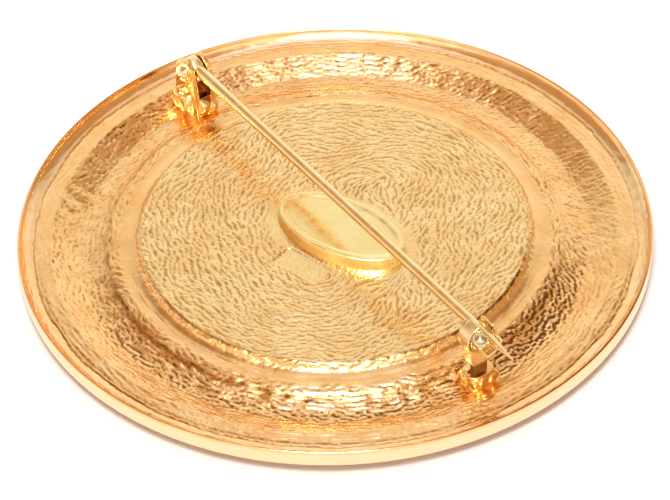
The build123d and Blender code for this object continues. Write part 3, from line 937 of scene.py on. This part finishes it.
both.free()
place(stem, "pin", WIRE, "pin", "pin_stem", "gold_finding")

sleeve_x0, sleeve_x1 = x0 - 0.25, x1 + 0.15
# The knob's arm stands on the middle of the tube's wall
ky, kz = round_catch((TUBE_IN + TUBE_OUT) / 2, [math.radians(KNOB_TURN)])[0]
ball = bmesh.new()
# A little larger than the solid's knob, closer to the photo
knob_at = Matrix.Translation((x1 + KNOB_REACH, ky, kz))
bmesh.ops.create_icosphere(ball, subdivisions=4, radius=KNOB_R + 0.1, matrix=knob_at)
arm = bmesh.new()
arm_at = Matrix.Translation((x1 + 0.38, ky, kz)) @ Matrix.Rotation(math.pi / 2, 4, "Y")
bmesh.ops.create_cone(
    arm, cap_ends=True, segments=32, radius1=ARM_R, radius2=ARM_R, depth=ARM_L, matrix=arm_at
)
sleeve_solids = [
    prism(open_ring(TUBE_IN, TUBE_OUT), sleeve_x0, sleeve_x1, "x"),
    prism(open_ring(TUBE_IN, COLLAR_R), sleeve_x0, sleeve_x0 + COLLAR_L, "x"),
    ball,
    arm,
]
sleeve = blend_solids(sleeve_solids, 0.03, 2)
place(sleeve, "safety_sleeve", SLEEVE, "sleeve", "catch_sleeve", "gold_finding")


# Stage: pale floor, camera and soft light, in metres

FLOOR_HALF = 2.0
corners = [(-1, -1, 0), (1, -1, 0), (1, 1, 0), (-1, 1, 0)]
floor_mesh = make_mesh(FLOOR_HALF * np.array(corners, dtype=float), [np.array([[0, 1, 2, 3]])])
floor_mesh.name = "floor"
floor = bpy.data.objects.new("floor", floor_mesh)
floor.location.z = -0.00001
bpy.context.scene.collection.objects.link(floor)
paper = bpy.data.materials.new("paper")
paper.use_nodes = True
matt = paper.node_tree.nodes["Principled BSDF"]
feed(paper.node_tree, matt, {"Base Color": (0.80, 0.79, 0.78, 1), "Roughness": 0.8})
floor.data.materials.append(paper)

TARGET, DISTANCE = Vector((0.002949, -0.001980, 0.00275)), 0.300
ELEVATION, ROLL = math.radians(42.263), math.radians(-2.10)
FOCAL_PIXELS, PHOTO_WIDTH, SENSOR_MM = 3201.6, 670, 36
right = Vector((RIGHT[0], RIGHT[1], 0))
away = Vector((AWAY[0], AWAY[1], 0))
overhead = Vector((0, 0, 1))
forward = away * math.cos(ELEVATION) - overhead * math.sin(ELEVATION)
up = right.cross(forward)
cam_right = right * math.cos(ROLL) + up * math.sin(ROLL)
cam_up = up * math.cos(ROLL) - right * math.sin(ROLL)
cam_data = bpy.data.cameras.new("camera")
cam_data.sensor_width = SENSOR_MM
cam_data.lens = FOCAL_PIXELS / PHOTO_WIDTH * SENSOR_MM
cam_data.clip_start = 0.01
cam_data.clip_end = 20
cam = bpy.data.objects.new("camera", cam_data)
facing_axes = Matrix((cam_right, cam_up, -forward)).transposed().to_4x4()
cam.matrix_world = Matrix.Translation(TARGET - forward * DISTANCE) @ facing_axes
bpy.context.scene.collection.objects.link(cam)
bpy.context.scene.camera = cam

# One square soft light high over the near side. An azimuth of 0 is the photograph's right, and 90 is away
KEY_AZIMUTH, KEY_ELEVATION, KEY_DISTANCE = math.radians(262), math.radians(68), 0.9
key_data = bpy.data.lights.new("key_light", "AREA")
key_data.shape = "RECTANGLE"
key_data.size = key_data.size_y = 0.26
key_data.energy = 6.0
key_data.color = (1.0, 0.98, 0.96)
key_light = bpy.data.objects.new("key_light", key_data)
level = right * math.cos(KEY_AZIMUTH) + away * math.sin(KEY_AZIMUTH)
key_light.location = (level * math.cos(KEY_ELEVATION) + overhead * math.sin(KEY_ELEVATION)) * KEY_DISTANCE
key_light.rotation_euler = (-key_light.location).to_track_quat("-Z", "Y").to_euler()
bpy.context.scene.collection.objects.link(key_light)

world = bpy.data.worlds.new("studio")
bpy.context.scene.world = world
world.use_nodes = True
studio = world.node_tree
sky_direction = studio.nodes.new("ShaderNodeTexCoord").outputs["Generated"]


def toward(direction):
    """How far a sky direction points along this one, from -1 to 1."""
    return vector_math(studio, "DOT_PRODUCT", {0: sky_direction, 1: direction}).outputs["Value"]


def fade(value, start, end):
    """Goes softly from 0 at start to 1 at end."""
    if start < end:
        return map_range(studio, value, start, end, 0.0, 1.0, "SMOOTHSTEP")
    return map_range(studio, value, end, start, 1.0, 0.0, "SMOOTHSTEP")


def combine(operation, *values):
    """Takes the values together two by two."""
    out = values[0]
    for value in values[1:]:
        node = studio.nodes.new("ShaderNodeMath")
        node.operation = operation
        out = feed(studio, node, {0: out, 1: value}).outputs[0]
    return out


sideways, outward, height = toward(right), toward(away), toward(overhead)
# Pale walls behind the brooch up to about the height of the camera, dimmer at both sides
glow = combine("ADD", combine("MULTIPLY", fade(height, 0.76, 0.56), 0.42), 0.72)
left_side = combine("ADD", combine("MULTIPLY", fade(sideways, -0.6, -0.1), 0.3), 0.7)
right_side = combine("ADD", combine("MULTIPLY", fade(sideways, 0.6, 0.1), 0.12), 0.88)
walls = combine("MULTIPLY", glow, fade(height, 0.88, 0.77), fade(outward, 0.34, 0.66), left_side, right_side)
pale = vector_math(studio, "SCALE", {0: (1.0, 0.92, 0.83), "Scale": walls}).outputs[0]
# Elsewhere the warm dim room, paler behind the camera
room = mix_colours(studio, fade(outward, -0.5, 0.1), (0.84, 0.63, 0.44, 1), (0.60, 0.36, 0.18, 1))
sky = mix_colours(studio, fade(walls, 0.0, 0.7), room, pale)
# A long soft light overhead that runs from behind the camera to just past the zenith
across = combine("MULTIPLY", fade(sideways, -0.27, -0.12), fade(sideways, 0.27, 0.12))
along = combine("MULTIPLY", fade(outward, -0.86, -0.72), fade(outward, 0.74, 0.20))
strip = combine("MULTIPLY", across, along, fade(height, 0.3, 0.45), 1.65)
# A broad dim light behind the camera
across = combine("MULTIPLY", fade(sideways, -0.85, -0.6), fade(sideways, 0.85, 0.6))
wide = combine("MULTIPLY", across, fade(outward, -0.25, -0.5), fade(height, 0.35, 0.55), 0.75)
# A low pale patch far to the left, seen in the lip's outer rounding
beside = combine("MULTIPLY", fade(sideways, -0.6, -0.85), fade(height, 0.5, 0.25), 0.5)
# The long light is cooler than the others
tint = mix_colours(studio, fade(strip, 0.3, 1.2), (0.92, 0.96, 1.0, 1), (0.36, 0.62, 1.0, 1))
lights = combine("MAXIMUM", strip, wide, beside)
shine = vector_math(studio, "MULTIPLY_ADD", {0: lights, 1: tint, 2: sky}).outputs[0]
feed(studio, studio.nodes["Background"], {"Color": shine})
bpy.context.scene.view_settings.view_transform = "Standard"
